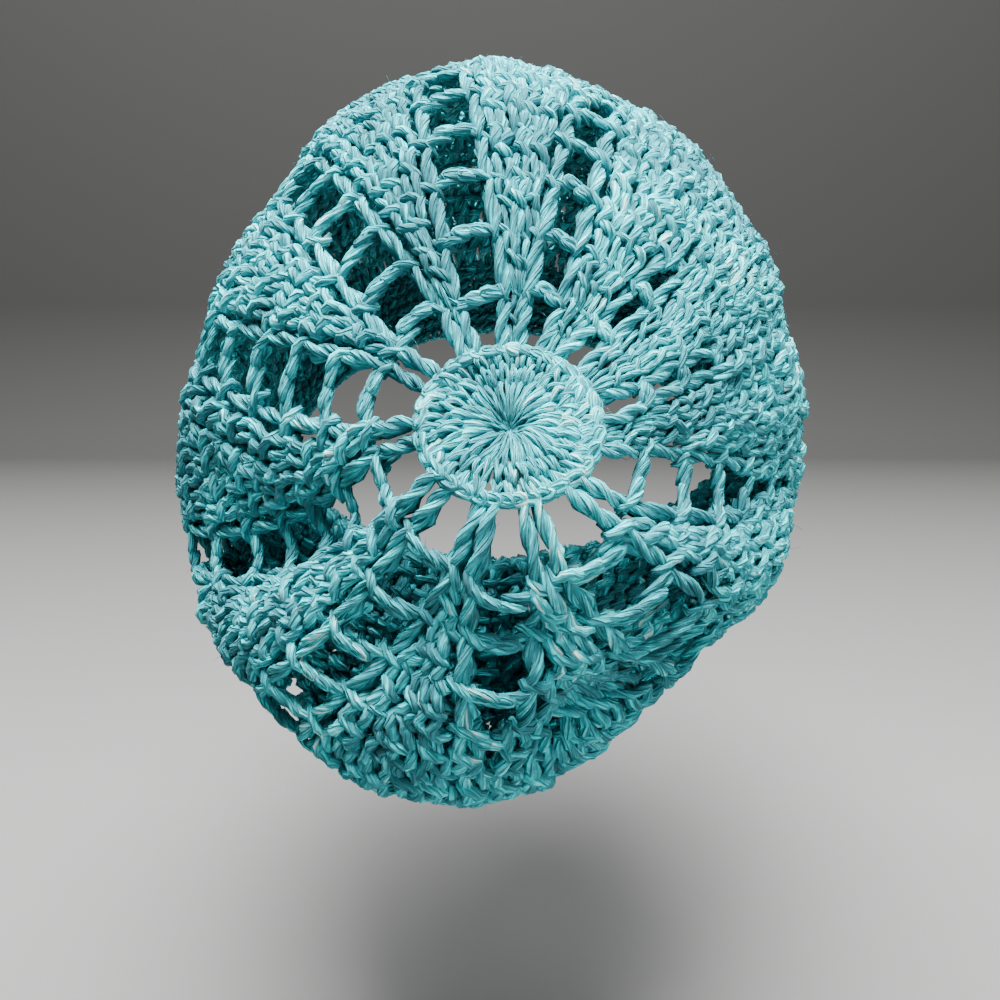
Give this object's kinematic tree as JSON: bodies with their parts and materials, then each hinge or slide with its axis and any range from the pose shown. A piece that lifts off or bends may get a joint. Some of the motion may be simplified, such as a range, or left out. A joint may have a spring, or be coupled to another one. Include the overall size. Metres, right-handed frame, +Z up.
{
  "type": "crochet hat",
  "caption": "Slouchy crochet hat worked in rounds from a disc at the back of the head, with ladders of open loops between gores, a folded pouch and a close head band.",
  "frame": {"origin": "middle of the head opening, where the hat sits on the head", "axes": "+Z up through the crown, +Y towards the wearer's face, +X to the right as seen from behind; the opening looks down"},
  "size_m": [0.18, 0.2209, 0.1702],
  "materials": {
    "yarn_disc": "light aqua cotton yarn with pale streaks, matte",
    "yarn_crown": "teal and aqua heathered cotton yarn, matte",
    "yarn_lower": "teal and aqua heathered cotton yarn, matte",
    "yarn_band": "teal heathered cotton yarn, matte"
  },
  "bodies": {
    "root": {"centre_disc": "yarn_disc", "mesh_crown": "yarn_crown", "lower_crown": "yarn_lower", "head_band": "yarn_band"}
  },
  "joints": []
}
